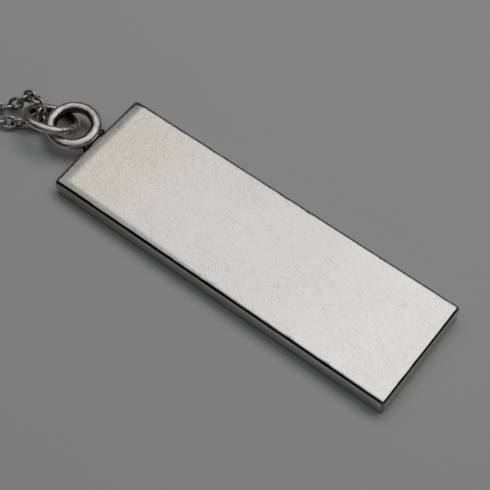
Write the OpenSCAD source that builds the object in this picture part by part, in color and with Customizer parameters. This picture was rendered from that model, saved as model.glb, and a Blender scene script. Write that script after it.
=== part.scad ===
// Silver ingot pendant: a plain bar with a soldered bail ring and a jump ring,
// hung on a fine neck chain whose clasp is open and whose spare length is coiled beside it.
//
// Working frame of the modules: the bar's ring end is the plane x = 0, the bar runs to +X,
// y = 0 is its centre line and z = 0 is the surface that it lies on.
// to_origin() then moves everything so that the origin is under the middle of bar and rings.

/* [Ingot bar] */
// Length of the bar
bar_l = 50; // [35:1:65]
// Width of the bar
bar_w = 16; // [12:0.5:22]
// Thickness of the bar
bar_t = 2.7; // [2.2:0.1:4]
// Radius that the bar's edges are rounded to
bar_edge_r = 0.5; // [0.2:0.05:0.8]

/* [Bail ring] */
// Radius of the bail ring at the middle of its wire
bail_r = 2.95; // [2.6:0.05:3.2]
// Diameter of the bail ring's wire
bail_wire = 1.56; // [1.2:0.02:1.6]
// Height of the bail ring's middle plane, near the top of the bar's end
bail_z = 2.17; // [1.9:0.01:2.3]

/* [Jump ring] */
// Radius of the jump ring at the middle of its wire
jump_r = 3.22; // [3.1:0.02:3.3]
// Diameter of the jump ring's wire
jump_wire = 1.2; // [0.9:0.02:1.24]
// How steeply the jump ring leans on the bail ring
jump_tilt = 33.5; // [33:0.5:36]

/* [Chain] */
// Length of one link, outside
link_l = 2.36; // [2.2:0.02:2.44]
// Width of one link, outside
link_w = 1.8; // [1.6:0.02:1.9]
// Diameter of the links' wire
link_wire = 0.46; // [0.36:0.02:0.5]
// Separate links modelled on each side of the one in the jump ring
links_each_side = 9; // [9]

/* [Clasp] */
// Radius of the bolt ring's tube, at the middle of the tube
clasp_r = 2.3; // [2.1:0.05:2.6]
// Outer diameter of the bolt ring's tube
clasp_tube = 1.4; // [1.2:0.05:1.6]
// Wall of the bolt ring's tube
clasp_wall = 0.2; // [0.15:0.01:0.25]
// Opening of the bolt ring, as an angle
clasp_gap = 70; // [55:1:80]

/* [Hidden] */

clear = 0.02;            // between pieces that are soldered or lie on each other
fit = 0.03;              // running clearance of the bolt in its tube
round_fn = 48;
wire_fn = 24;

// Bail and jump rings
bail_x = -(bail_r + bail_wire / 2) - clear;
solder_deep = 0.75;
solder_wide = 3.1;
jump_in = 0.15;          // how far the jump ring's middle lies inside the middle of the bail's wire
jump_x = bail_x - bail_r + jump_in;
jump_y = -1.05;
jump_z = jump_r * sin(jump_tilt) + jump_wire / 2 + clear;
jump_turn = 100;         // heading of the lean, from +X
jump_seam = 1.2;         // the butt joint's gap, as an angle
jump_seam_at = 235;      // where the butt joint is

// The rings reach past the bar's end by this much, so the origin is this far along
jump_reach = jump_x - jump_r * sqrt(1 - pow(sin(jump_tilt) * cos(jump_turn), 2)) - jump_wire / 2;
origin_x = (bar_l + jump_reach) / 2;

// Direction of the jump ring's wire where the chain goes round it
bend_axis = [0, cos(jump_tilt), -sin(jump_tilt)];

// Chain
pitch = link_l - 2 * link_wire - 0.04;
strand_d = (link_w - link_wire) * cos(45) + link_wire;

// Route of the chain from the jump ring, chosen by hand: the far strand, which climbs over
// the ring's wire, and the near strand, which leaves under it. The points are given for a jump
// ring whose middle is at route_jump_x, and with_jump_ring() moves all the chain along with it.
route_jump_x = -6.55;
upper_route = [
    [-8.15, -1.1, 2.25], [-8.47, -0.83, 3.63], [-9.71, -0.31, 3.29], [-10.97, -0.19, 3.17],
    [-11.92, -1.02, 1.79], [-12.89, -1.85, 1], [-14.1, -3, 0.75], [-16, -4.7, 0.75],
    [-18.5, -6.7, 0.75], [-21.5, -8.4, 0.75], [-24.5, -9.4, 1.3], [-28, -10, 2.2],
    [-32, -11, 2.25], [-36.6, -11.6, 2.25]];
near_route = [
    [-8.15, -1.1, 2.25], [-8.08, -2.01, 1.15], [-9.1, -2.43, 1.21], [-10.17, -3.42, 0.87],
    [-11.7, -4.11, 0.91], [-13.5, -5.2, 0.75], [-16, -7.1, 0.75], [-19.5, -9.4, 0.75],
    [-24, -11.1, 0.75], [-30, -11.8, 0.75], [-36.6, -11.6, 0.75]];

// Coil of the spare length
coil_x = -36.6;
coil_r = 11.6;           // of the outermost turn's centre line
coil_step = 1.6;         // from one turn to the next
coil_turns = 3;
layer_h = strand_d + 0.08;

// Clasp
clasp_bore = clasp_tube - 2 * clasp_wall;
bolt_d = clasp_bore - 2 * fit;
bolt_travel = 70;
clasp_x = -35.6;
clasp_y = 1.2;
clasp_z = clasp_tube / 2 + clear;
eye_r = 0.55;            // the eye on the bolt ring's back, at the middle of its wire
eye_wire = 0.32;
eye_x = -clasp_r - clasp_tube / 2 - eye_r;
tail_r = 1.05;           // the ring between that eye and the chain
tail_wire = 0.4;
catch_l = 4.4;           // the oblong ring on the chain's other end
catch_w = 2.6;
catch_wire = 0.55;
catch_x = -35;
catch_y = -3.9;
catch_z = 0.55;

// ---- helpers

function between(a, b, t) = a + (b - a) * t;

// Point on the smooth curve through p[i] and p[i + 1]
function curve_at(p, i, t) = let (
    a = p[max(i - 1, 0)], b = p[i], c = p[i + 1], d = p[min(i + 2, len(p) - 1)])
    0.5 * (2 * b + (c - a) * t + (2 * a - 5 * b + 4 * c - d) * t * t
           + (3 * b - a - 3 * c + d) * t * t * t);

function fine(p, n = 8) = concat(
    [for (i = [0:len(p) - 2], k = [0:n - 1]) curve_at(p, i, k / n)], [p[len(p) - 1]]);

function lengths(q) = [for (i = 0, s = 0; i < len(q);
    s = s + (i + 1 < len(q) ? norm(q[i + 1] - q[i]) : 0), i = i + 1) s];

function along(q, s, at) = [for (k = [0:2]) lookup(at, [for (i = [0:len(q) - 1]) [s[i], q[i][k]]])];

upper_line = fine(upper_route);
near_line = fine(near_route);
upper_s = lengths(upper_line);
near_s = lengths(near_line);

// The chain's centre line, counted from the link in the jump ring: up one side, down the other
function chain_at(s) = s >= 0 ? along(upper_line, upper_s, s) : along(near_line, near_s, -s);

function unit(v) = v / norm(v);

// Moves its children from the X axis to the chord a to b, their Y axis to side, rolled about the chord
module on_chord(a, b, side, roll) {
    x = unit(b - a);
    across = unit(side - (side * x) * x);
    y = across * cos(roll) + cross(x, across) * sin(roll);
    z = cross(x, y);
    at = (a + b) / 2;
    multmatrix([for (k = [0:2]) [x[k], y[k], z[k], at[k]]]) children();
}

module to_origin() {
    translate([-origin_x, 0, 0]) children();
}

// Moves the chain, its coil and the clasp to where the jump ring is
module with_jump_ring() {
    to_origin() translate([jump_x - route_jump_x, 0, 0]) children();
}

// A wire ring about Z
module wire_ring(r, wire, gap = 0) {
    rotate([0, 0, gap / 2])
        rotate_extrude(angle = 360 - gap, $fn = round_fn) translate([r, 0]) circle(d = wire, $fn = wire_fn);
}

// An oblong link in the XY plane, long side along X
module oblong_link(long, wide, wire) {
    r = (wide - wire) / 2;
    side = long - wide;
    for (m = [0, 1]) {
        mirror([m, 0, 0]) translate([side / 2, 0, 0]) rotate([0, 0, -90])
            rotate_extrude(angle = 180, $fn = round_fn) translate([r, 0]) circle(d = wire, $fn = wire_fn);
        mirror([0, m, 0]) translate([-side / 2, r, 0]) rotate([0, 90, 0])
            cylinder(d = wire, h = side, $fn = wire_fn);
    }
}

// A rectangle with round corners
module round_rect(x, y, r) {
    difference() {
        square([x, y], center = true);
        for (m = [0, 1], n = [0, 1]) mirror([m, 0]) mirror([0, n]) translate([x / 2 - r, y / 2 - r])
            difference() {
                square(2 * r);
                circle(r = r, $fn = wire_fn);
            }
    }
}

// A box with every edge rounded: what three rounded bars, one along each axis, have in common
module rounded_box(size, r) {
    intersection() {
        linear_extrude(2 * size[2], center = true) round_rect(size[0], size[1], r);
        rotate([90, 0, 0]) linear_extrude(2 * size[1], center = true) round_rect(size[0], size[2], r);
        rotate([90, 0, 90]) linear_extrude(2 * size[0], center = true) round_rect(size[1], size[2], r);
    }
}

// A tube swept along points by flat rings that stand across the line
module swept(points, d, sides = 8) {
    n = len(points);
    function heading(i) = let (v = points[min(i + 1, n - 1)] - points[max(i - 1, 0)]) v / norm(v);
    function across(i) = let (v = cross([0, 0, 1], heading(i))) v / norm(v);
    corners = [for (i = [0:n - 1], k = [0:sides - 1])
        let (t = 360 * k / sides, up = cross(heading(i), across(i)))
        points[i] + (across(i) * cos(t) + up * sin(t)) * d / 2];
    walls = [for (i = [0:n - 2], k = [0:sides - 1])
        let (j = (k + 1) % sides)
        [i * sides + k, i * sides + j, (i + 1) * sides + j, (i + 1) * sides + k]];
    ends = [[for (k = [sides - 1:-1:0]) k], [for (k = [0:sides - 1]) (n - 1) * sides + k]];
    polyhedron(corners, concat(walls, ends));
}

// ---- pendant

module ingot_solid() {
    translate([bar_l / 2, 0, bar_t / 2]) rounded_box([bar_l, bar_w, bar_t], bar_edge_r);
}

module bail_solid() {
    translate([bail_x, 0, bail_z]) wire_ring(bail_r, bail_wire);
}

module ingot_bar() {
    color("silver") to_origin() ingot_solid();
}

module bail_ring() {
    color("silver") to_origin() bail_solid();
}

// Solder that fills the corner between the bail ring and the flat of the bar's end
module bail_solder() {
    low = bail_z - bail_wire / 2 + 0.1;
    high = bar_t - bar_edge_r;
    color("dimgray") to_origin() difference() {
        intersection() {
            translate([-solder_deep, -solder_wide / 2, low]) cube([solder_deep, solder_wide, high - low]);
            translate([-solder_deep, 0, bail_z]) rotate([0, 90, 0])
                cylinder(d = solder_wide, h = solder_deep, $fn = round_fn);
        }
        bail_solid();
    }
}

module jump_ring() {
    color("silver") to_origin()
        translate([jump_x, jump_y, jump_z]) rotate([0, jump_tilt, jump_turn])
        rotate([0, 0, jump_seam_at]) wire_ring(jump_r, jump_wire, jump_seam);
}

// ---- chain

// Link i of the chain, 0 being the one in the jump ring. Links that go round the ring's wire
// stand square to the bend, and those that lie on the surface lean 45 degrees each way.
module chain_link(i) {
    a = chain_at((i - 0.5) * pitch);
    b = chain_at((i + 0.5) * pitch);
    level = cross([0, 0, i > 0 ? -1 : 1], unit(b - a));
    lies = min(max((abs(i) - 1) / 4, 0), 1);
    side = bend_axis * (1 - lies) + level * lies;
    color("gray") with_jump_ring()
        on_chord(a, b, side, 45 * lies + (i % 2 == 0 ? 0 : 90)) oblong_link(link_l, link_w, link_wire);
}

// The plain run of a strand from its last separate link to the coil
module strand(side) {
    line = side > 0 ? upper_line : near_line;
    s = side > 0 ? upper_s : near_s;
    first = (links_each_side + 1) * pitch;
    before_coil = side > 0 ? 17 : 9;
    points = concat([chain_at(side * first)],
        [for (i = [0:2:len(line) - before_coil]) if (s[i] > first + 1) line[i]]);
    color("gray") with_jump_ring() swept(points, strand_d);
}

// The outer shape of the coiled length, one layer of it
module coil(layer) {
    inner = coil_r - coil_step * (coil_turns - 1) - strand_d / 2 - coil_step / 2;
    color("gray") with_jump_ring() translate([coil_x, 0, clear + layer * layer_h])
        rotate_extrude($fn = 96)
        translate([inner, 0]) square([coil_r + strand_d / 2 - inner, strand_d]);
}

module chain_upper_strand() strand(1);
module chain_near_strand() strand(-1);
module chain_upper_coil() coil(1);
module chain_near_coil() coil(0);

// ---- clasp and catch, which lie in the middle of the coil

module at_clasp() {
    with_jump_ring() translate([clasp_x, clasp_y, clasp_z]) children();
}

module at_catch() {
    with_jump_ring() translate([catch_x, catch_y, catch_z]) children();
}

// Part of a ring of round bar between two angles
module arc_bar(r, d, from, to) {
    rotate([0, 0, from]) rotate_extrude(angle = to - from, $fn = round_fn)
        translate([r, 0]) circle(d = d, $fn = wire_fn);
}

bolt_out = clasp_gap / 2 + 8;          // how far past the opening's middle the bolt reaches
bolt_back = -clasp_gap / 2 - 22;       // the bolt's other end, inside the tube
spring_end = bolt_back - bolt_travel - 14;

module clasp_ring() {
    color("silver") at_clasp() {
        difference() {
            arc_bar(clasp_r, clasp_tube, clasp_gap / 2, 360 - clasp_gap / 2);
            arc_bar(clasp_r, clasp_bore, clasp_gap / 2 - 1, clasp_gap / 2 + 12);
            arc_bar(clasp_r, clasp_bore, 360 + spring_end, 361 - clasp_gap / 2);
            rotate([0, 0, 360 - clasp_gap / 2 - bolt_travel - 14])
                rotate_extrude(angle = bolt_travel + 15, $fn = round_fn)
                translate([clasp_r, -0.24]) square([clasp_tube, 0.48]);
        }
        translate([eye_x, 0, 0]) rotate([90, 0, 0]) wire_ring(eye_r, eye_wire);
    }
}

module clasp_bolt() {
    color("gainsboro") at_clasp() {
        arc_bar(clasp_r, bolt_d, bolt_back, bolt_out);
        rotate([0, 0, -clasp_gap / 2 - 8]) translate([clasp_r, 0, 0]) rotate([0, 90, 0])
            cylinder(d = 0.42, h = clasp_tube / 2 + 0.55, $fn = wire_fn);
    }
}

module clasp_spring() {
    turns = 7;
    color("dimgray") at_clasp() for (i = [0:turns - 1])
        rotate([0, 0, between(spring_end + 3, bolt_back - 3, i / (turns - 1))])
        translate([clasp_r, 0, 0]) rotate([90, 0, 0]) wire_ring(0.34, 0.14);
}

module clasp_tail_ring() {
    color("silver") at_clasp() translate([eye_x - 0.08 - tail_r, 0, 0.05])
        rotate([18, 0, 0]) wire_ring(tail_r, tail_wire, 3);
}

module clasp_end_link() {
    color("gray") at_clasp()
        translate([eye_x - 0.08 - 2 * tail_r + (tail_wire + link_wire) / 2 + 0.06 - (link_l - link_wire) / 2, 0, 0.09])
        rotate([-58, 0, 0]) oblong_link(link_l, link_w, link_wire);
}

// The catch that the bolt closes on, one end lifted by the link that goes through it
module catch_ring() {
    color("silver") at_catch() rotate([0, -7, 0]) oblong_link(catch_l, catch_w, catch_wire);
}

module catch_end_link() {
    color("gray") at_catch()
        translate([(catch_l - catch_wire) / 2 - (catch_wire + link_wire) / 2 - 0.09 + (link_l - link_wire) / 2, 0, 0.28])
        rotate([62, 0, 0]) oblong_link(link_l, link_w, link_wire);
}

ingot_bar();
bail_ring();
bail_solder();
jump_ring();
chain_link(0);  // chain_link_0
for (i = [1:links_each_side]) {
    chain_link(i);
    chain_link(-i);
}
chain_upper_strand();
chain_near_strand();
chain_upper_coil();
chain_near_coil();
clasp_end_link();
catch_end_link();
clasp_tail_ring();
clasp_ring();
clasp_bolt();
clasp_spring();
catch_ring();
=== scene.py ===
"""Builds the looks of a silver ingot pendant on its neck chain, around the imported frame.

The pieces are the bar, the bail ring soldered to its end, the jump ring, the two sides of the
chain with their coiled spare length, the bolt ring clasp and the catch. All sizes are in metres.
"""

import math
import random

import bpy
from bpy.props import FloatProperty, FloatVectorProperty, IntProperty, PointerProperty
from bpy.types import Operator, Panel, PropertyGroup
from mathutils import Matrix, Vector, noise


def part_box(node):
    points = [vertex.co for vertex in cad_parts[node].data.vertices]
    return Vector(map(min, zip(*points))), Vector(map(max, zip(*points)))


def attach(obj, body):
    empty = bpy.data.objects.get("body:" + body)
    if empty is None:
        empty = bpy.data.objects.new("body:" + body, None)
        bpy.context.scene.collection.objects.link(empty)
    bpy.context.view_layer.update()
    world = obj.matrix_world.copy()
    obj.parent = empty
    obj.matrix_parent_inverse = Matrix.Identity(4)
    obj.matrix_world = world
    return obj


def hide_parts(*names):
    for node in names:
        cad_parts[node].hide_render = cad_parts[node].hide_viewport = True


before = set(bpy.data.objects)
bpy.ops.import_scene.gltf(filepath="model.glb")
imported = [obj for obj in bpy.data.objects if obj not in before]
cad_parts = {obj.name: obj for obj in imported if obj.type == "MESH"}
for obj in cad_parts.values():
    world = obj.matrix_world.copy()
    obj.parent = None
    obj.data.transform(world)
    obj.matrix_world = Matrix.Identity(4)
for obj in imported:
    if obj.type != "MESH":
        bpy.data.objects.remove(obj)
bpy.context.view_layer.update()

bl_info = {
    "name": "Silver Ingot Pendant",
    "version": (1, 0, 0),
    "blender": (4, 5, 0),
    "location": "View3D > Sidebar > Pendant",
    "description": "Builds an ingot pendant with its rings, chain and clasp around the packed frame",
    "category": "Add Mesh",
}

MM = 0.001
BAR_LOW, BAR_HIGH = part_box("ingot_bar")
RING_END = BAR_LOW.x
Z_AXIS = Vector((0, 0, 1))
CAMERA_AIM = Vector((3.935 * MM, 0.374 * MM, 0))
FULL_EDGE = 0.16  # how far from flat a rounded edge's normal is where its mask is full
EDGE_WEAR = 0.03 * MM


# ---- sizes and colours


def length_prop(name, text, default):
    """A length that shows in the sidebar in the scene's unit."""
    return FloatProperty(name=name, description=text, default=default, unit="LENGTH", precision=5)


def angle_prop(name, text, degrees):
    """An angle, given in degrees."""
    return FloatProperty(name=name, description=text, default=math.radians(degrees), subtype="ANGLE")


def colour_prop(name, text, default):
    """A linear colour."""
    return FloatVectorProperty(
        name=name, description=text, default=default, size=3, min=0, max=1, subtype="COLOR"
    )


def factor_prop(name, text, default):
    """A share from 0 to 1."""
    return FloatProperty(name=name, description=text, default=default, min=0, max=1, subtype="FACTOR")


def power_prop(name, text, default):
    """A lamp's power in watts."""
    return FloatProperty(name=name, description=text, default=default, min=0, unit="POWER")


class PendantBarSettings(PropertyGroup):
    """Sizes and finish of the ingot bar"""

    edge: length_prop("Edge radius", "Radius that the edges are rounded to", 0.5 * MM)
    wave: length_prop("Waviness", "How far the hand-polished faces depart from flat", 0.012 * MM)
    nick_count: IntProperty(name="Nicks", description="Small dents along the edges", default=26, min=0)
    silver: colour_prop("Silver", "Colour of the clean metal", (0.93, 0.912, 0.878))
    warm: colour_prop("Warm tarnish", "Colour of the thin yellow tarnish", (0.82, 0.70, 0.50))
    roughness: factor_prop("Roughness", "Haze of the polished faces", 0.105)
    pillow: length_prop("Pillowing", "How far the top is worn down at its edges", 0.17 * MM)
    pillow_reach: length_prop("Pillowing reach", "Width of the worn margin", 1.65 * MM)


class PendantRingSettings(PropertyGroup):
    """Sizes and finish of the bail ring and the jump ring"""

    bail_radius: length_prop("Bail radius", "Bail ring, at the middle of its wire", 2.95 * MM)
    bail_wire: length_prop("Bail wire", "Diameter of the bail ring's wire", 1.56 * MM)
    jump_radius: length_prop("Jump ring radius", "Jump ring, at the middle of its wire", 3.22 * MM)
    jump_wire: length_prop("Jump ring wire", "Diameter of the jump ring's wire", 1.2 * MM)
    jump_tilt: angle_prop("Jump ring lean", "How steeply the jump ring leans on the bail ring", 33.5)
    jump_turn: angle_prop("Jump ring heading", "Direction in which the jump ring leans", 100)
    unevenness: factor_prop("Unevenness", "How far the hand-made wire departs from round", 0.045)
    silver: colour_prop("Silver", "Colour of the clean metal", (0.80, 0.715, 0.68))
    roughness: factor_prop("Roughness", "Haze of the wire", 0.19)


class PendantChainSettings(PropertyGroup):
    """Sizes and finish of the chain"""

    link_length: length_prop("Link length", "Outside length of a link", 2.36 * MM)
    link_width: length_prop("Link width", "Outside width of a link", 1.8 * MM)
    wire: length_prop("Wire", "Diameter of the links' wire", 0.46 * MM)
    clasp_side: length_prop("Clasp side", "Length of chain from the jump ring to the clasp", 225 * MM)
    catch_side: length_prop("Catch side", "Length of chain from the jump ring to the catch", 200 * MM)
    coil_radius: length_prop("Coil radius", "Middle of the coil's outermost turn", 11.6 * MM)
    coil_step: length_prop("Turn spacing", "From one turn of the coil to the next", 1.6 * MM)
    silver: colour_prop("Silver", "Colour of the tarnished links", (0.60, 0.58, 0.57))
    roughness: factor_prop("Roughness", "Haze of the links", 0.2)


class PendantStageSettings(PropertyGroup):
    """The camera, the floor and the light"""

    distance: length_prop("Camera distance", "From the camera to the point it looks at", 162.71 * MM)
    azimuth: angle_prop("Camera azimuth", "Direction of the camera round the object", 38.0927)
    elevation: angle_prop("Camera elevation", "Height of the camera above the horizon", 59.0861)
    roll: angle_prop("Camera roll", "Turn of the camera about its own line", -0.3687)
    lens: FloatProperty(name="Lens", description="Focal length", default=97.1, unit="CAMERA")
    floor: colour_prop("Floor", "Colour of the plain floor", (0.415, 0.415, 0.413))
    softbox: power_prop("Softbox", "Power of the overhead softbox", 0.76)
    surround: power_prop("Surround", "Power of the dimmer screen round the softbox", 0.80)
    side: power_prop("Side box", "Power of the brighter panel in the softbox", 0.18)
    fill: power_prop("Fill", "Power of the fill light from behind", 0.25)


SETTINGS = {
    "pendant_bar": PendantBarSettings,
    "pendant_rings": PendantRingSettings,
    "pendant_chain": PendantChainSettings,
    "pendant_stage": PendantStageSettings,
}


# ---- shader nodes


class Nodes:
    """A node tree that is filled by short calls."""

    def __init__(self, tree):
        self.tree = tree

    def add(self, kind, values=(), **attributes):
        """A new node. values are its inputs by name or number; a socket is linked, a number is set."""
        node = self.tree.nodes.new(kind)
        for name, value in attributes.items():
            setattr(node, name, value)
        for key, value in dict(values).items():
            if isinstance(value, bpy.types.NodeSocket):
                self.tree.links.new(value, node.inputs[key])
            else:
                node.inputs[key].default_value = value
        return node

    def math(self, operation, a, b=0.0, clamp=False):
        """The result of an operation on two values."""
        return self.add("ShaderNodeMath", {0: a, 1: b}, operation=operation, use_clamp=clamp).outputs[0]

    def ramp(self, value, low, high, start=0.0, end=1.0, smooth=True):
        """value from low..high to start..end, held beyond them."""
        kind = "SMOOTHSTEP" if smooth else "LINEAR"
        node = self.add(
            "ShaderNodeMapRange", {0: value, 1: low, 2: high, 3: start, 4: end}, interpolation_type=kind
        )
        return node.outputs[0]

    def mix(self, factor, a, b):
        """Colour a turned into colour b by factor."""
        node = self.add("ShaderNodeMix", data_type="RGBA")
        for slot, value in ((0, factor), (6, a), (7, b)):
            if isinstance(value, bpy.types.NodeSocket):
                self.tree.links.new(value, node.inputs[slot])
            elif slot == 0:
                node.inputs[slot].default_value = value
            else:
                node.inputs[slot].default_value = (*value, 1)
        return node.outputs[2]

    def millimetres(self):
        """The place on the object, in millimetres."""
        place = self.add("ShaderNodeTexCoord").outputs["Object"]
        return self.add("ShaderNodeVectorMath", {0: place, 3: 1 / MM}, operation="SCALE").outputs[0]

    def noise(self, vector, scale, detail=2.0, roughness=0.5):
        """A noise texture node."""
        values = {"Vector": vector, "Scale": scale, "Detail": detail, "Roughness": roughness}
        return self.add("ShaderNodeTexNoise", values)


def new_group(name, inputs, outputs):
    """A shader node group with float sockets, and its Nodes, input and output nodes."""
    tree = bpy.data.node_groups.new(name, "ShaderNodeTree")
    for label, default in inputs.items():
        socket = tree.interface.new_socket(label, in_out="INPUT", socket_type="NodeSocketFloat")
        socket.default_value = default
    for label in outputs:
        tree.interface.new_socket(label, in_out="OUTPUT", socket_type="NodeSocketFloat")
    nodes = Nodes(tree)
    return tree, nodes, nodes.add("NodeGroupInput").outputs, nodes.add("NodeGroupOutput")


def scratch_group():
    """Fine scratches in many directions, each a little curved."""
    tree, nodes, given, out = new_group(
        "Fine scratches", {"Fineness": 9.0, "Length": 0.3, "Bend": 1.2, "Cover": 0.5}, ["Mask"]
    )
    directions = 7
    place = nodes.millimetres()
    rng = random.Random(11)
    limit = nodes.ramp(given["Cover"], 0, 1, 0.80, 0.60, smooth=False)
    top = nodes.math("ADD", limit, 0.07)
    total = None
    for turn in range(directions):
        warp = nodes.noise(place, 0.06 + 0.03 * turn, 0.0).outputs["Color"]
        centred = nodes.add(
            "ShaderNodeVectorMath", {0: warp, 1: (0.5, 0.5, 0.5)}, operation="SUBTRACT"
        ).outputs[0]
        bent = nodes.add(
            "ShaderNodeVectorMath", {0: centred, 3: nodes.math("MULTIPLY", given["Bend"], 1.0 + turn)},
            operation="SCALE",
        ).outputs[0]
        moved = nodes.add("ShaderNodeVectorMath", {0: place, 1: bent}, operation="ADD").outputs[0]
        angles = [rng.uniform(-0.5, 0.5), rng.uniform(-0.5, 0.5)]
        angles.append(turn * math.pi / directions + rng.uniform(-0.2, 0.2))
        turned = nodes.add("ShaderNodeMapping", {"Vector": moved, "Rotation": angles}).outputs[0]
        scale = nodes.add(
            "ShaderNodeCombineXYZ", {0: given["Length"], 1: given["Fineness"], 2: given["Fineness"]}
        ).outputs[0]
        long = nodes.add("ShaderNodeVectorMath", {0: turned, 1: scale}, operation="MULTIPLY").outputs[0]
        streak = nodes.noise(long, 1.0, 0.0).outputs["Fac"]
        line = nodes.add("ShaderNodeMapRange", {0: streak, 1: limit, 2: top, 3: 0, 4: 1}).outputs[0]
        total = line if total is None else nodes.math("MAXIMUM", total, line)
    nodes.tree.links.new(total, out.inputs["Mask"])
    return tree


def cloud_group():
    """Soft patches of tarnish or of haze."""
    tree, nodes, given, out = new_group(
        "Tarnish clouds", {"Patches per mm": 0.12, "Low": 0.4, "High": 0.65, "Detail": 4.0}, ["Mask"]
    )
    clouds = nodes.noise(nodes.millimetres(), given["Patches per mm"], given["Detail"], 0.55).outputs["Fac"]
    mask = nodes.add(
        "ShaderNodeMapRange", {0: clouds, 1: given["Low"], 2: given["High"], 3: 0, 4: 1}
    ).outputs[0]
    nodes.tree.links.new(mask, out.inputs["Mask"])
    return tree


def pit_group():
    """Scattered small pits and specks."""
    tree, nodes, given, out = new_group(
        "Pits", {"Cells per mm": 0.8, "Radius": 0.12, "Share": 0.3}, ["Mask"]
    )
    values = {"Vector": nodes.millimetres(), "Scale": given["Cells per mm"]}
    cells = nodes.add("ShaderNodeTexVoronoi", values)
    pick = nodes.add("ShaderNodeSeparateColor", {0: cells.outputs["Color"]}).outputs
    chosen = nodes.math("LESS_THAN", pick[0], given["Share"])
    size = nodes.math("MULTIPLY", given["Radius"], nodes.ramp(pick[1], 0, 1, 0.4, 1.2, smooth=False))
    inner = nodes.math("MULTIPLY", size, 0.5)
    near = nodes.add(
        "ShaderNodeMapRange", {0: cells.outputs["Distance"], 1: inner, 2: size, 3: 1, 4: 0}
    ).outputs[0]
    nodes.tree.links.new(nodes.math("MULTIPLY", near, chosen), out.inputs["Mask"])
    return tree


GROUPS = {"scratches": scratch_group, "clouds": cloud_group, "pits": pit_group}
made_groups = {}


def use_group(nodes, kind, **values):
    """The mask of a shared group, placed in a material with its own values."""
    if kind not in made_groups:
        made_groups[kind] = GROUPS[kind]()
    node = nodes.add("ShaderNodeGroup")
    node.node_tree = made_groups[kind]
    for label, value in values.items():
        node.inputs[label.replace("_", " ")].default_value = value
    return node.outputs["Mask"]


def new_material(name, metallic, roughness, specular=0.5):
    """A material with a Principled shader, and its Nodes and shader."""
    material = bpy.data.materials.new(name)
    material.use_nodes = True
    shader = material.node_tree.nodes["Principled BSDF"]
    shader.inputs["Metallic"].default_value = metallic
    shader.inputs["Roughness"].default_value = roughness
    shader.inputs["Specular IOR Level"].default_value = specular
    return material, Nodes(material.node_tree), shader


def bar_silver(settings):
    """Polished silver with handling scratches, pits and warm tarnish; its rounded edges and worn margins are
    darkened toward teal as painted dark reflection together with tarnish, and its ends and sides are darkened
    as painted shade.
    """
    material, nodes, shader = new_material("bar_silver", 1.0, settings.roughness)
    link = nodes.tree.links.new
    place = nodes.add("ShaderNodeSeparateXYZ", {0: nodes.millimetres()}).outputs
    clouds = use_group(nodes, "clouds", Patches_per_mm=0.16, Low=0.42, High=0.68)
    haze = use_group(nodes, "clouds", Patches_per_mm=0.6, Low=0.35, High=0.7, Detail=6.0)
    specks = use_group(nodes, "clouds", Patches_per_mm=4.2, Low=0.52, High=0.64, Detail=2.0)
    fine = use_group(nodes, "scratches", Fineness=11.0, Length=0.5, Bend=0.7, Cover=0.5)
    short = use_group(nodes, "scratches", Fineness=6.0, Length=0.65, Bend=0.9, Cover=0.30)
    deep = use_group(nodes, "scratches", Fineness=7.0, Length=0.11, Bend=2.4, Cover=0.16)
    pits = use_group(nodes, "pits", Cells_per_mm=1.1, Radius=0.11, Share=0.16)
    handled = use_group(nodes, "clouds", Patches_per_mm=0.11, Low=0.40, High=0.62)
    handled = nodes.ramp(handled, 0, 1, 0.3, 1.0)
    # Masks made with the mesh: darkening of edges and worn margins (painted dark reflection together with
    # tarnish), and of the ends and sides by which way they face (painted shade).
    rim = nodes.add("ShaderNodeAttribute", attribute_name="rim").outputs["Fac"]
    side = nodes.add("ShaderNodeAttribute", attribute_name="side").outputs["Fac"]
    ring_end = nodes.ramp(place[0], RING_END / MM - 4, RING_END / MM + 26, 1.0, 0.0)
    clouded = nodes.math("MULTIPLY", clouds, 0.3)
    warmth = nodes.math("ADD", clouded, nodes.math("MULTIPLY", ring_end, 0.95), True)
    warmth = nodes.math("MULTIPLY", warmth, nodes.math("SUBTRACT", 1.0, rim, True))
    colour = nodes.mix(warmth, settings.silver, settings.warm)
    layers = (
        (haze, 0.10, (0.62, 0.62, 0.62)),
        (specks, 0.28, (0.50, 0.46, 0.40)),
        (fine, 0.40, (0.42, 0.39, 0.34)),
        (nodes.math("MULTIPLY", short, handled), 0.6, (0.30, 0.28, 0.25)),
        (deep, 0.6, (0.34, 0.31, 0.27)),
        (nodes.math("MULTIPLY", pits, handled), 0.8, (0.12, 0.11, 0.09)),
        # Edges and worn margins darkened toward teal: painted dark reflection together with tarnish.
        (rim, 0.9, (0.05, 0.10, 0.15)),
        # Ends, and the long sides a little, darkened by which way they face: painted shade.
        (side, 0.5, (0.45, 0.44, 0.42)),
    )
    for mask, strength, tone in layers:
        colour = nodes.mix(nodes.math("MULTIPLY", mask, strength), colour, tone)
    link(colour, shader.inputs["Base Color"])
    rough = nodes.math("ADD", nodes.math("MULTIPLY", haze, 0.05), settings.roughness)
    rough = nodes.math("ADD", rough, nodes.math("MULTIPLY", fine, 0.10))
    link(rough, shader.inputs["Roughness"])
    height = nodes.math("ADD", nodes.math("MULTIPLY", fine, -0.5), nodes.math("MULTIPLY", deep, -1.0))
    height = nodes.math("ADD", height, nodes.math("MULTIPLY", pits, -1.5))
    bump = nodes.add("ShaderNodeBump", {"Height": height, "Strength": 0.35, "Distance": 0.01 * MM})
    link(bump.outputs[0], shader.inputs["Normal"])
    return material


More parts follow.
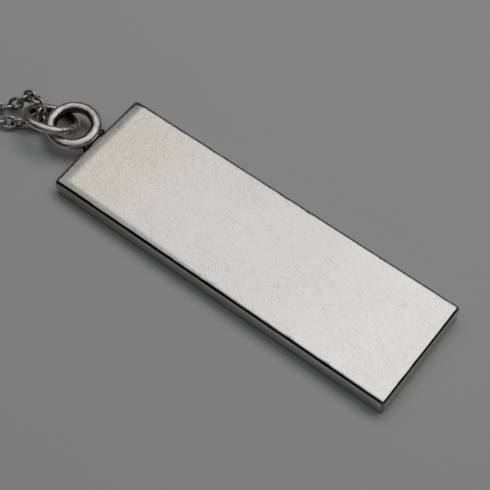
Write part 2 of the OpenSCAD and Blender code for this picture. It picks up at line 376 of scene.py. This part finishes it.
def wire_silver(name, silver, dark, roughness, grain, tarnish, recess=0.0):
    """Drawn wire, tarnished in patches. The last argument darkens the side of the wire that faces into its
    ring nearly to black, as painted shade.
    """
    material, nodes, shader = new_material(name, 1.0, roughness)
    link = nodes.tree.links.new
    clouds = use_group(nodes, "clouds", Patches_per_mm=0.9 * grain, Low=0.42, High=0.62)
    specks = use_group(nodes, "clouds", Patches_per_mm=4.0 * grain, Low=0.45, High=0.75, Detail=5.0)
    scratch = use_group(nodes, "scratches", Fineness=11.0 * grain, Length=0.8, Bend=0.6, Cover=0.45)
    pits = use_group(nodes, "pits", Cells_per_mm=2.2 * grain, Radius=0.25, Share=0.2)
    colour = nodes.mix(nodes.math("MULTIPLY", clouds, tarnish), silver, dark)
    colour = nodes.mix(nodes.math("MULTIPLY", specks, tarnish), colour, dark)
    colour = nodes.mix(nodes.math("MULTIPLY", pits, 0.7), colour, tuple(0.4 * c for c in dark))
    # Painted shade: the side facing into the ring or link is darkened nearly to black, mottled a little by
    # the tarnish clouds.
    if recess:
        inside = nodes.add("ShaderNodeAttribute", attribute_name="recess").outputs["Fac"]
        edge = nodes.math("ADD", inside, nodes.math("MULTIPLY", clouds, 0.25))
        edge = nodes.ramp(edge, 0.45, 1.0)
        colour = nodes.mix(nodes.math("MULTIPLY", edge, recess), colour, (0.03, 0.027, 0.025))
    link(colour, shader.inputs["Base Color"])
    rough = nodes.math("ADD", nodes.math("MULTIPLY", specks, 0.16), roughness)
    link(nodes.math("ADD", rough, nodes.math("MULTIPLY", clouds, 0.08)), shader.inputs["Roughness"])
    height = nodes.math("ADD", nodes.math("MULTIPLY", scratch, -0.6), nodes.math("MULTIPLY", specks, 0.5))
    height = nodes.math("ADD", height, nodes.math("MULTIPLY", pits, -1.5))
    bump = nodes.add("ShaderNodeBump", {"Height": height, "Strength": 0.5, "Distance": 0.02 * MM})
    link(bump.outputs[0], shader.inputs["Normal"])
    return material


def floor_material(colour):
    """A plain grey card with barely visible clouds."""
    material, nodes, shader = new_material("floor_card", 0.0, 0.75, 0.25)
    clouds = use_group(nodes, "clouds", Patches_per_mm=0.03, Low=0.3, High=0.7)
    tone = nodes.mix(nodes.math("MULTIPLY", clouds, 0.10), colour, tuple(0.9 * c for c in colour))
    nodes.tree.links.new(tone, shader.inputs["Base Color"])
    return material


# ---- meshes


def new_piece(name, points, faces, material, body, slot, **masks):
    """A smooth-shaded mesh that rides on a body. masks are values for each point, by attribute name."""
    mesh = bpy.data.meshes.new(name)
    mesh.from_pydata([tuple(p) for p in points], [], faces)
    mesh.validate()
    mesh.polygons.foreach_set("use_smooth", [True] * len(mesh.polygons))
    mesh.materials.append(material)
    for label, values in masks.items():
        mesh.attributes.new(label, "FLOAT", "POINT").data.foreach_set("value", values)
    mesh.update()
    piece = bpy.data.objects.new(name, mesh)
    bpy.context.scene.collection.objects.link(piece)
    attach(piece, body)
    return piece


def cross_section(at, heading, side, radius, sides, shape=None):
    """Points round a wire at one place. shape gives the radius' factor at an angle."""
    heading = heading.normalized()
    side = (side - heading * side.dot(heading)).normalized()
    up = heading.cross(side)
    ring = []
    for k in range(sides):
        angle = 2 * math.pi * k / sides
        r = radius * (shape(angle) if shape else 1.0)
        ring.append(at + side * (r * math.cos(angle)) + up * (r * math.sin(angle)))
    return ring


def inward(sides):
    """How far each point of a cross section faces the middle of its ring, from 0 to 1."""
    return [max(0.0, -math.cos(2 * math.pi * k / sides)) for k in range(sides)]


def loop_faces(first, count, sides, closed=True):
    """Quads between rings of points; an open tube gets a face at each end."""
    faces = []
    for i in range(count if closed else count - 1):
        a, b = first + i * sides, first + ((i + 1) % count) * sides
        for k in range(sides):
            n = (k + 1) % sides
            faces.append((a + k, a + n, b + n, b + k))
    if not closed:
        faces.append(tuple(first + k for k in reversed(range(sides))))
        faces.append(tuple(first + (count - 1) * sides + k for k in range(sides)))
    return faces


def oblong(long, wide, steps):
    """Centre line of an oblong link: places and their outward directions, in the XY plane."""
    radius, half = wide / 2, (long - wide) / 2
    line = []
    for start, shift in ((-90, half), (90, -half)):
        for k in range(steps + 1):
            angle = math.radians(start + 180 * k / steps)
            out = Vector((math.cos(angle), math.sin(angle), 0))
            line.append((out * radius + Vector((shift, 0, 0)), out))
    return line


# ---- the chain's line


def mm_points(*points):
    """Points measured from the bar's ring end in millimetres, as points of the frame in metres."""
    return [Vector((RING_END + x * MM, y * MM, z * MM)) for x, y, z in points]


UPPER_ROUTE = mm_points(
    (-8.15, -1.1, 2.25), (-8.47, -0.83, 3.63), (-9.71, -0.31, 3.29), (-10.97, -0.19, 3.17),
    (-11.92, -1.02, 1.79), (-12.89, -1.85, 1), (-14.1, -3, 0.75), (-16, -4.7, 0.75),
    (-18.5, -6.7, 0.75), (-21.5, -8.4, 0.75), (-24.5, -9.4, 1.3), (-28, -10, 2.2),
    (-32, -11, 2.25), (-36.6, -11.6, 2.25),
)
NEAR_ROUTE = mm_points(
    (-8.15, -1.1, 2.25), (-8.08, -2.01, 1.15), (-9.1, -2.43, 1.21), (-10.17, -3.42, 0.87),
    (-11.7, -4.11, 0.91), (-13.5, -5.2, 0.75), (-16, -7.1, 0.75), (-19.5, -9.4, 0.75),
    (-24, -11.1, 0.75), (-30, -11.8, 0.75), (-36.6, -11.6, 0.75),
)
JUMP_CENTRE = mm_points((-6.55, -1.05, 2.397))[0]
JUMP_SEAM_AT, JUMP_SEAM_GAP = math.radians(235), math.radians(1.2)
COIL_CENTRE = Vector((RING_END - 36.6 * MM, 0, 0))
UPPER_LAYER, NEAR_LAYER = 2.25 * MM, 0.75 * MM  # heights of the coil's two layers
UPPER_TURNED, NEAR_TURNED = 1155, 1005  # how far each side is wound, in degrees
UPPER_WAY_IN = mm_points((-43.15, -0.75, 1.85), (-43.2, 0.1, 1.25), (-42.75, 0.85, 0.85))
NEAR_WAY_IN = mm_points((-30.3, -3.2, 0.75), (-31.2, -3.9, 0.77))
CLASP_LINK = mm_points((-41.79, 1.2, 0.81))[0]
CATCH_LINK = mm_points((-32.72, -3.9, 0.83))[0]
SINGLE_LINKS = 9


def smooth_line(points, steps=8):
    """A smooth curve through points."""
    line = []
    last = len(points) - 1
    for i in range(last):
        a, b, c, d = points[max(i - 1, 0)], points[i], points[i + 1], points[min(i + 2, last)]
        for k in range(steps):
            t = k / steps
            square, cube = 2 * a - 5 * b + 4 * c - d, 3 * b - a - 3 * c + d
            line.append(0.5 * (2 * b + (c - a) * t + square * t**2 + cube * t**3))
    return line + [points[-1].copy()]


def coil_line(settings, height, turned, step=7.5):
    """The coil from its outermost turn inwards, clockwise, through an angle in degrees."""
    line = []
    for k in range(1, round(turned / step) + 1):
        angle = k * step
        radius = settings.coil_radius - settings.coil_step * angle / 360
        heading = math.radians(-90 - angle)
        out = Vector((radius * math.cos(heading), radius * math.sin(heading), height))
        line.append(COIL_CENTRE + out)
    return line


class Line:
    """A line of points that can be read at any distance along it."""

    def __init__(self, points):
        self.points = points
        self.at = [0.0]
        for a, b in zip(points, points[1:]):
            self.at.append(self.at[-1] + (b - a).length)
        self.length = self.at[-1]

    def place(self, distance):
        """The point at a distance from the start."""
        distance = min(max(distance, 0.0), self.length)
        low, high = 0, len(self.at) - 1
        while high - low > 1:
            middle = (low + high) // 2
            if self.at[middle] <= distance:
                low = middle
            else:
                high = middle
        share = (distance - self.at[low]) / (self.at[high] - self.at[low])
        return self.points[low].lerp(self.points[high], share)


def link_shell(a, b, side, roll, settings, steps, sides, rng):
    """Points of one link along the chord a to b, slightly uneven, with its soldered joint."""
    x = (b - a).normalized()
    across = (side - x * side.dot(x)).normalized()
    y = across * math.cos(roll) + x.cross(across) * math.sin(roll)
    z = x.cross(y)
    middle = (a + b) / 2
    wire = settings.wire / 2
    seam = rng.uniform(-0.6, 0.6)
    stretch = 1 + rng.uniform(-0.012, 0.012)
    points = []
    line = oblong(settings.link_length - settings.wire, settings.link_width - settings.wire, steps)
    for place, out in line:
        at = middle + x * place.x * stretch + y * place.y / stretch
        outward = x * out.x + y * out.y
        heading = z.cross(outward)
        joint = math.exp(-(((place.x / settings.wire) - seam) ** 2) * 8) if out.y > 0.99 else 0.0
        worn = 1 - 0.05 * abs(out.x) ** 3 + 0.10 * joint
        points += cross_section(at, heading, outward, wire * worn, sides)
    return points


def chain_side(name, upper, line, other, settings, material):
    """The links of one side of the chain, from the jump ring along line, and the path they follow.

    other is the other side's line. The link inside the jump ring is the upper side's.
    """
    sign = 1 if upper else -1
    pitch = settings.link_length - 2 * settings.wire - 0.04 * MM
    count = round(line.length / pitch)
    if count % 2 != (1 if upper else 0):
        count += 1
    plain = (SINGLE_LINKS + 0.5) * pitch
    later = (line.length - plain) / (count - SINGLE_LINKS - 0.5)

    def reach(i):
        """Distance along the line to the middle of link i."""
        return i * pitch if i <= SINGLE_LINKS + 0.5 else plain + (i - SINGLE_LINKS - 0.5) * later

    tilt = bpy.context.scene.pendant_rings.jump_tilt
    bend = Vector((0, math.cos(tilt), -math.sin(tilt)))
    rng = random.Random(5 if upper else 6)
    points, faces, inner = [], [], []
    for i in range(0 if upper else 1, count):
        near = line.place(reach(i - 0.5)) if i else other.place(pitch / 2)
        far = line.place(reach(i + 0.5))
        a, b = (near, far) if upper else (far, near)
        level = (Z_AXIS * (-sign if i else 1)).cross((b - a).normalized())
        lies = min(max((i - 1) / 4, 0), 1)
        side = bend * (1 - lies) + level * lies
        roll = math.radians(45 * lies + (0 if i % 2 == 0 else 90))
        if i > 2:
            roll += math.radians(rng.uniform(-7, 7))
        steps, sides = (14, 12) if i < 16 else (7, 8)
        first = len(points)
        shell = link_shell(a, b, side, roll, settings, steps, sides, rng)
        points += shell
        rings = len(shell) // sides
        # How far each point faces into its link; this sets the painted shade on the link's inner side.
        inner += inward(sides) * rings
        faces += loop_faces(first, rings, sides)
    piece = new_piece(name, points, faces, material, "chain", "silver_chain", recess=inner)
    last = reach(count - 0.5)
    path = [p for p, s in zip(line.points, line.at) if s < last - 0.2 * MM] + [line.place(last)]
    return piece, path


def run_lines(settings):
    """The whole line of each side: route, coil and the way in to the clasp or the catch."""
    upper = smooth_line(UPPER_ROUTE) + coil_line(settings, UPPER_LAYER, UPPER_TURNED)
    upper = upper[:-1] + smooth_line([upper[-1], *UPPER_WAY_IN, CLASP_LINK])
    near = smooth_line(NEAR_ROUTE) + coil_line(settings, NEAR_LAYER, NEAR_TURNED)
    near = near[:-1] + smooth_line([near[-1], *NEAR_WAY_IN, CATCH_LINK])
    return Line(upper), Line(near)


# ---- the operators


class PENDANT_OT_camera(Operator):
    """Make the camera that looks down on the pendant from its near side"""

    bl_idname = "pendant.camera"
    bl_label = "Camera"

    def execute(self, context):
        stage = context.scene.pendant_stage
        data = bpy.data.cameras.new("camera")
        data.lens = stage.lens
        data.sensor_width = 36
        data.clip_start = 0.005
        camera = bpy.data.objects.new("camera", data)
        context.scene.collection.objects.link(camera)
        a, e = stage.azimuth, stage.elevation
        back = Vector((math.sin(a) * math.cos(e), -math.cos(a) * math.cos(e), math.sin(e)))
        level = Vector((math.cos(a), math.sin(a), 0))
        upright = back.cross(level)
        right = level * math.cos(stage.roll) + upright * math.sin(stage.roll)
        up = upright * math.cos(stage.roll) - level * math.sin(stage.roll)
        place = CAMERA_AIM + back * stage.distance
        camera.matrix_world = Matrix(
            [(right[k], up[k], back[k], place[k]) for k in range(3)] + [(0, 0, 0, 1)]
        )
        context.scene.camera = camera
        return {"FINISHED"}


class PENDANT_OT_chain(Operator):
    """Make both sides of the neck chain, link by link, with the spare length coiled"""

    bl_idname = "pendant.chain"
    bl_label = "Chain"

    def execute(self, context):
        settings = context.scene.pendant_chain
        # The last value paints shade, nearly black, on the inner side of each link.
        material = wire_silver(
            "chain_silver", tuple(settings.silver), (0.20, 0.19, 0.185), settings.roughness, 1.0, 0.45, 0.9
        )
        upper_line, near_line = run_lines(settings)
        clasp = ("clasp_end_link", "clasp_tail_ring", "clasp_ring", "clasp_bolt", "clasp_spring")
        for name, upper, letter, length, held in (
            ("chain_upper", True, "u", settings.clasp_side, clasp),
            ("chain_near", False, "n", settings.catch_side, ("catch_end_link", "catch_ring")),
        ):
            line, other = (upper_line, near_line) if upper else (near_line, upper_line)
            piece, path = chain_side(name, upper, line, other, settings, material)
            singles = [f"chain_link_{letter}{i}" for i in range(1, SINGLE_LINKS + 1)]
            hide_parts(*singles, name + "_strand", name + "_coil")
            if upper:
                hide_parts("chain_link_0")
        for node in ("clasp_end_link", "catch_end_link"):
            paint(node, material)
        return {"FINISHED"}


def paint(node, material):
    """A material for a CAD node that keeps its shape."""
    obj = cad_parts[node]
    obj.data.materials.clear()
    obj.data.materials.append(material)
    obj.data.polygons.foreach_set("material_index", [0] * len(obj.data.polygons))


def spread(half, radius, spacing):
    """Grid places across a rounded bar: even on the flat, by angle on the two rounded edges."""
    flat = half - radius
    count = max(2, round(2 * flat / spacing))
    bend = [flat + radius * math.tan(math.radians(a)) for a in (9, 18, 27, 36, 45)]
    middle = [-flat + 2 * flat * i / count for i in range(count + 1)]
    return [-b for b in reversed(bend)] + middle + bend


def edge_nicks(half, count):
    """Places, widths and depths of small dents along the edges of the top."""
    rng = random.Random(21)
    nicks = []
    for _ in range(count):
        place = Vector((rng.uniform(-half.x, half.x), rng.choice((-half.y, half.y)), half.z))
        if rng.random() < 0.25:
            place = Vector((rng.choice((-half.x, half.x)), rng.uniform(-half.y, half.y), half.z))
        nicks.append((place, rng.uniform(0.25, 0.6) * MM, rng.uniform(0.02, 0.07) * MM))
    return nicks


def worn_margins(p, half):
    """The top's four margins beside a point: ring end, far side, near side and plain end.

    Each is the distance to the edge, the wear's depth and width as shares of the pillowing, and
    how far the margin's colour is darkened, as painted dark reflection together with tarnish.
    """
    from_ring_end = (half.x + p.x) / half.x
    to_far_side = (half.y + p.y) / (2 * half.y)
    near_share = max(0.0, 1 - from_ring_end / 1.3)
    return (
        (half.x + p.x, 1.35, 1.0, 0.35 + 0.5 * to_far_side),
        (half.y - p.y, 0.6, 0.34, 1.0),
        (half.y + p.y, 1.35 * near_share, 0.75, 0.5 * near_share),
        (half.x - p.x, 0.1, 0.8, 0.0),
    )


def bar_point(corner, half, settings, nicks):
    """A point of the box's grid moved onto the worn bar, and its two masks: darkening of the edges and worn
    margins (painted dark reflection together with tarnish) and of the ends and sides (painted shade).
    """
    core = [half[n] - settings.edge for n in range(3)]
    inner = Vector([min(max(corner[n], -core[n]), core[n]) for n in range(3)])
    normal = (corner - inner).normalized()
    edge = min(1.0, (1 - max(abs(c) for c in normal)) / FULL_EDGE)
    # The rounded edges are darkened in full: painted dark reflection together with tarnish.
    rim = edge
    p = inner + normal * settings.edge
    wave = noise.noise((p / MM) * 0.11 + Vector((7.1, 3.3, 1.7)))
    wave += 0.35 * noise.noise((p / MM) * 0.35)
    p = p - normal * (abs(wave) * settings.wave)
    if p.z > 0:
        for gap, share, reach, rim_darkening in worn_margins(p, half):
            worn = max(0.0, 1 - gap / (settings.pillow_reach * reach))
            p.z -= settings.pillow * share * worn**1.4
            # The worn margins are darkened too: painted dark reflection together with tarnish.
            rim = max(rim, rim_darkening * worn**0.7)
    if edge > 0:
        p = p - normal * (EDGE_WEAR * edge * (0.5 + noise.noise((p / MM) * 0.6)))
        for place, reach, depth in nicks:
            away = (p - place).length
            if away < 2 * reach:
                p = p - normal * (depth * math.exp(-((away / reach) ** 2) * 2))
    # The last value darkens the ends, and the long sides a little, by which way they face: painted shade.
    return p, rim, abs(normal.x) + 0.12 * abs(normal.y)


class PENDANT_OT_bar(Operator):
    """Make the ingot bar: rounded, slightly wavy from polishing, worn and nicked along its edges"""

    bl_idname = "pendant.bar"
    bl_label = "Ingot bar"

    def execute(self, context):
        settings = context.scene.pendant_bar
        middle = (BAR_LOW + BAR_HIGH) / 2
        half = (BAR_HIGH - BAR_LOW) / 2
        spacing = (0.28 * MM, 0.28 * MM, 0.5 * MM)
        axes = [spread(half[n], settings.edge, spacing[n]) for n in range(3)]
        nicks = edge_nicks(half, settings.nick_count)
        index, points, rims, sides = {}, [], [], []

        def vertex(key):
            """The number of the mesh's point at a place of the grid, which is made when first used."""
            if key not in index:
                corner = Vector([axes[n][key[n]] for n in range(3)])
                p, rim, side = bar_point(corner, half, settings, nicks)
                index[key] = len(points)
                points.append(p + middle)
                rims.append(rim)
                sides.append(side)
            return index[key]

        faces = []
        for axis in range(3):
            u, v = (axis + 1) % 3, (axis + 2) % 3
            for end in (0, len(axes[axis]) - 1):
                for i in range(len(axes[u]) - 1):
                    for j in range(len(axes[v]) - 1):
                        corners = []
                        for di, dj in ((0, 0), (1, 0), (1, 1), (0, 1)):
                            key = [0, 0, 0]
                            key[axis], key[u], key[v] = end, i + di, j + dj
                            corners.append(vertex(tuple(key)))
                        faces.append(tuple(corners if end else reversed(corners)))
        material = bar_silver(settings)
        piece = new_piece("ingot", points, faces, material, "pendant", "silver_bar", rim=rims, side=sides)
        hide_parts("ingot_bar")
        return {"FINISHED"}


def worked_ring(name, place, turn, size, settings, material, body, seed, gap=0.0, flat=None):
    """A ring of hand-worked wire: uneven, faintly filed, open by gap at its joint.

    size is the ring's radius and the wire's diameter. flat is the x that the ring is filed off at.
    """
    radius, wire = size
    steps, sides = 144, 28
    points = []
    closed = gap == 0
    shift = Vector((seed * 3.7, seed * 1.3, seed * 9.1))
    for i in range(steps):
        angle = gap / 2 + (2 * math.pi - gap) * i / (steps if closed else steps - 1)
        out = Vector((math.cos(angle), math.sin(angle), 0))
        heading = Vector((-math.sin(angle), math.cos(angle), 0))
        around = out * 2.2 + shift
        thick = 1 - settings.unevenness * (0.5 + noise.noise(around))

        def shape(k, around=around):
            bump = noise.noise(around * 1.7 + Vector((math.cos(k), math.sin(k), 0)) * 1.3)
            return thick * (1 - settings.unevenness * (0.4 + bump))

        ring = cross_section(out * radius, heading, out, wire / 2, sides, shape)
        points += [place + turn @ p for p in ring]
    if flat is not None:
        for p in points:
            p.x = min(p.x, flat)
    faces = loop_faces(0, steps, sides, closed)
    # The points that face into the ring get painted shade, nearly black.
    return new_piece(name, points, faces, material, body, "silver_rings", recess=inward(sides) * steps)


class PENDANT_OT_rings(Operator):
    """Make the bail ring, the solder that holds it, and the jump ring"""

    bl_idname = "pendant.rings"
    bl_label = "Rings"

    def execute(self, context):
        settings = context.scene.pendant_rings
        # The last value paints shade, nearly black, on the inner side of each ring.
        material = wire_silver(
            "ring_silver", tuple(settings.silver), (0.30, 0.27, 0.25), settings.roughness, 0.8, 0.3, 0.9
        )
        low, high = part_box("bail_ring")
        bail = worked_ring(
            "bail", (low + high) / 2, Matrix.Identity(3), (settings.bail_radius, settings.bail_wire),
            settings, material, "pendant", 3, flat=RING_END - 0.004 * MM,
        )
        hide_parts("bail_ring")
        turn = Matrix.Rotation(settings.jump_turn, 3, "Z") @ Matrix.Rotation(settings.jump_tilt, 3, "Y")
        turn = turn @ Matrix.Rotation(JUMP_SEAM_AT, 3, "Z")
        jump = worked_ring(
            "jump", JUMP_CENTRE, turn, (settings.jump_radius, settings.jump_wire), settings, material,
            "jump_ring", 8, gap=JUMP_SEAM_GAP,
        )
        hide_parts("jump_ring")
        self.solder()
        return {"FINISHED"}

    def solder(self):
        """A lumpy fillet of solder between the bail ring and the flat of the bar's end, coloured nearly black
        and swollen so that it also stands in for the shadow in the gap: solder and painted shadow.
        """
        # Near-black solder colour, which also paints the shadow in the gap between ring and bar.
        material = wire_silver("solder_and_painted_shadow", (0.11, 0.10, 0.095), (0.02, 0.018, 0.017), 0.42, 1.6, 0.9)
        low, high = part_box("bail_solder")
        centre = (low + high) / 2
        half = (high - low) / 2
        points = []
        rows, columns = 18, 36
        swell = (1.15, 1.35, 1.5)
        for i in range(1, rows):
            lean = math.pi * i / rows - math.pi / 2
            for k in range(columns):
                angle = 2 * math.pi * k / columns
                girth = math.cos(lean)
                out = Vector((girth * math.cos(angle), math.sin(lean), girth * math.sin(angle)))
                lump = 1 + 0.22 * noise.noise(out * 2.6 + Vector((4, 1, 7)))
                p = Vector([out[n] * half[n] * swell[n] for n in range(3)]) * lump + centre
                p.x = min(p.x, RING_END - 0.002 * MM)
                points.append(p)
        near_tip, far_tip = len(points), len(points) + 1
        tip = Vector((0, half.y * 1.37, 0))
        points += [centre - tip, centre + tip]
        faces = loop_faces(0, rows - 1, columns, closed=False)[:-2]
        last = (rows - 2) * columns
        for k in range(columns):
            n = (k + 1) % columns
            faces.append((near_tip, n, k))
            faces.append((far_tip, last + k, last + n))
        piece = new_piece("solder", points, faces, material, "pendant", "solder")
        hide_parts("bail_solder")


class PENDANT_OT_clasp(Operator):
    """Give the bolt ring clasp, its spring and the catch their metals"""

    bl_idname = "pendant.clasp"
    bl_label = "Clasp"

    def execute(self, context):
        silver = wire_silver("clasp_silver", (0.80, 0.78, 0.75), (0.32, 0.30, 0.28), 0.2, 1.0, 0.3)
        steel = wire_silver("spring_steel", (0.45, 0.45, 0.46), (0.2, 0.2, 0.2), 0.3, 2.0, 0.4)
        for node in ("clasp_ring", "clasp_bolt", "clasp_tail_ring", "catch_ring"):
            paint(node, silver)
        paint("clasp_spring", steel)
        return {"FINISHED"}


class PENDANT_OT_stage(Operator):
    """Make the plain floor and the soft light"""

    bl_idname = "pendant.stage"
    bl_label = "Stage"

    def execute(self, context):
        stage = context.scene.pendant_stage
        size = 1.5
        mesh = bpy.data.meshes.new("floor")
        corners = [(-size, -size, 0), (size, -size, 0), (size, size, 0), (-size, size, 0)]
        mesh.from_pydata(corners, [], [(0, 1, 2, 3)])
        mesh.materials.append(floor_material(tuple(stage.floor)))
        floor = bpy.data.objects.new("floor", mesh)
        context.scene.collection.objects.link(floor)
        warm, cool, sky = (1, 0.985, 0.96), (0.97, 0.98, 1), (0.93, 0.97, 1)
        self.light("softbox", (0.055, 0.21, 0.40), (0.055, 0.21, 0), (0.61, 0.24), stage.softbox, warm)
        self.light("surround", (-0.095, 0.025, 0.40), (-0.095, 0.025, 0), (0.91, 0.55), stage.surround, sky)
        self.light("side_box", (0.030, 0.20, 0.39), (0.030, 0.20, 0), (0.26, 0.25), stage.side, warm)
        self.light("fill", (0.15, 0.70, 0.50), (0, 0, 0), (0.6, 0.4), stage.fill, cool)
        world = bpy.data.worlds.new("dim_room")
        world.use_nodes = True
        nodes = Nodes(world.node_tree)
        heading = nodes.add("ShaderNodeTexCoord").outputs["Generated"]
        heading = nodes.add("ShaderNodeSeparateXYZ", {0: heading}).outputs
        across = nodes.math("SUBTRACT", heading[1], heading[0])
        light = nodes.mix(nodes.ramp(across, 0.2, 1.0), (0.016, 0.017, 0.018), (0.038, 0.048, 0.048))
        light = nodes.mix(nodes.ramp(across, -1.35, -0.9, 1.0, 0.0), light, (0.15, 0.15, 0.15))
        nodes.tree.links.new(light, world.node_tree.nodes["Background"].inputs[0])
        context.scene.world = world
        return {"FINISHED"}

    def light(self, name, place, aim, size, power, colour):
        """A rectangular softbox that faces a point."""
        data = bpy.data.lights.new(name, "AREA")
        data.shape = "RECTANGLE"
        data.size, data.size_y = size
        data.energy = power
        data.color = colour
        lamp = bpy.data.objects.new(name, data)
        lamp.location = place
        lamp.rotation_euler = (Vector(aim) - Vector(place)).to_track_quat("-Z", "Y").to_euler()
        bpy.context.scene.collection.objects.link(lamp)


class PENDANT_PT_sidebar(Panel):
    """Sizes, colours and the buttons that make the pieces"""

    bl_label = "Silver Ingot Pendant"
    bl_idname = "PENDANT_PT_sidebar"
    bl_space_type = "VIEW_3D"
    bl_region_type = "UI"
    bl_category = "Pendant"

    def draw(self, context):
        for key, group in SETTINGS.items():
            box = self.layout.box()
            for name in group.__annotations__:
                box.prop(getattr(context.scene, key), name)
        for step in STEPS:
            self.layout.operator(step.bl_idname)


STEPS = (
    PENDANT_OT_camera, PENDANT_OT_chain, PENDANT_OT_bar, PENDANT_OT_rings, PENDANT_OT_clasp, PENDANT_OT_stage,
)


def register():
    for cls in (*SETTINGS.values(), *STEPS, PENDANT_PT_sidebar):
        bpy.utils.register_class(cls)
    for key, group in SETTINGS.items():
        setattr(bpy.types.Scene, key, PointerProperty(type=group))


def unregister():
    for key in SETTINGS:
        delattr(bpy.types.Scene, key)
    for cls in reversed((*SETTINGS.values(), *STEPS, PENDANT_PT_sidebar)):
        bpy.utils.unregister_class(cls)


def main():
    register()
    for step in STEPS:
        call = getattr(bpy.ops.pendant, step.bl_idname.split(".")[1])
        if call() != {"FINISHED"}:
            raise RuntimeError(f"{step.bl_label} was not made")


if __name__ == "__main__":
    main()
